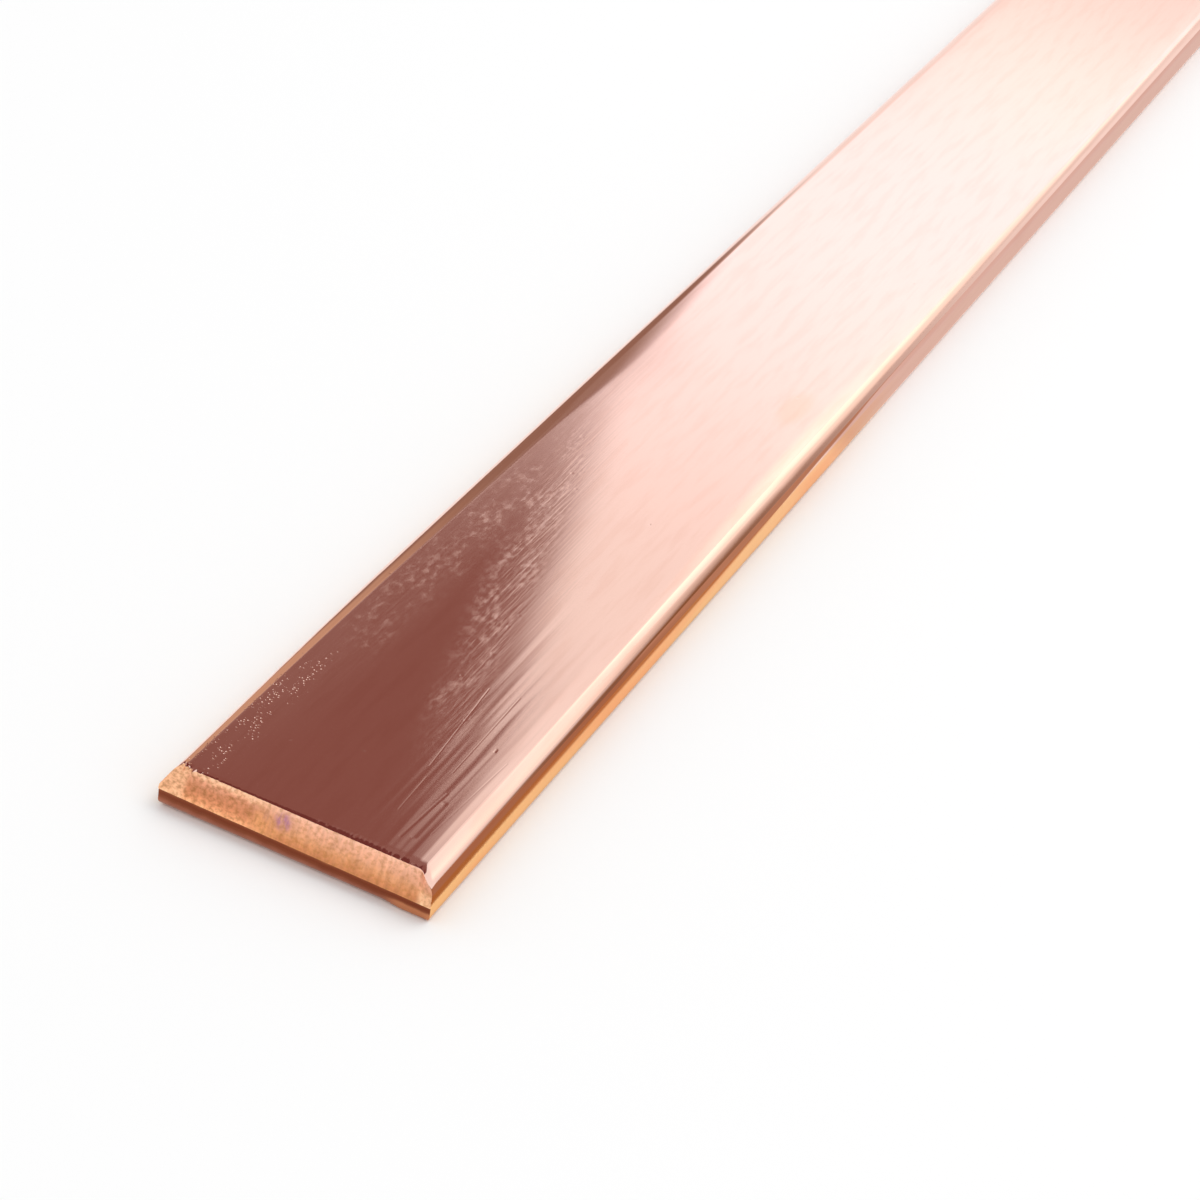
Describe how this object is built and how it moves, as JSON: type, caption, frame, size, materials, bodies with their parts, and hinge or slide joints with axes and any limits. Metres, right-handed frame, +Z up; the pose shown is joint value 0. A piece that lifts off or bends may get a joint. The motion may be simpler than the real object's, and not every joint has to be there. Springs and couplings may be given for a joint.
{
  "type": "metal flat bar",
  "caption": "Straight copper flat bar, rounded along its long edges, with a cropped end that leans over a smooth lip and a square sawn end.",
  "frame": {"origin": "midway along the bar and across its width, on the floor that its lower broad face lies on", "axes": "+X along the length, from the cropped end towards the sawn end; +Y across the width; +Z up through the thickness"},
  "size_m": [0.5, 0.03, 0.005],
  "materials": {
    "copper": "bright drawn copper, polished, with fine drawing lines along its length"
  },
  "bodies": {
    "root": {"flat_bar": "copper"}
  },
  "joints": []
}
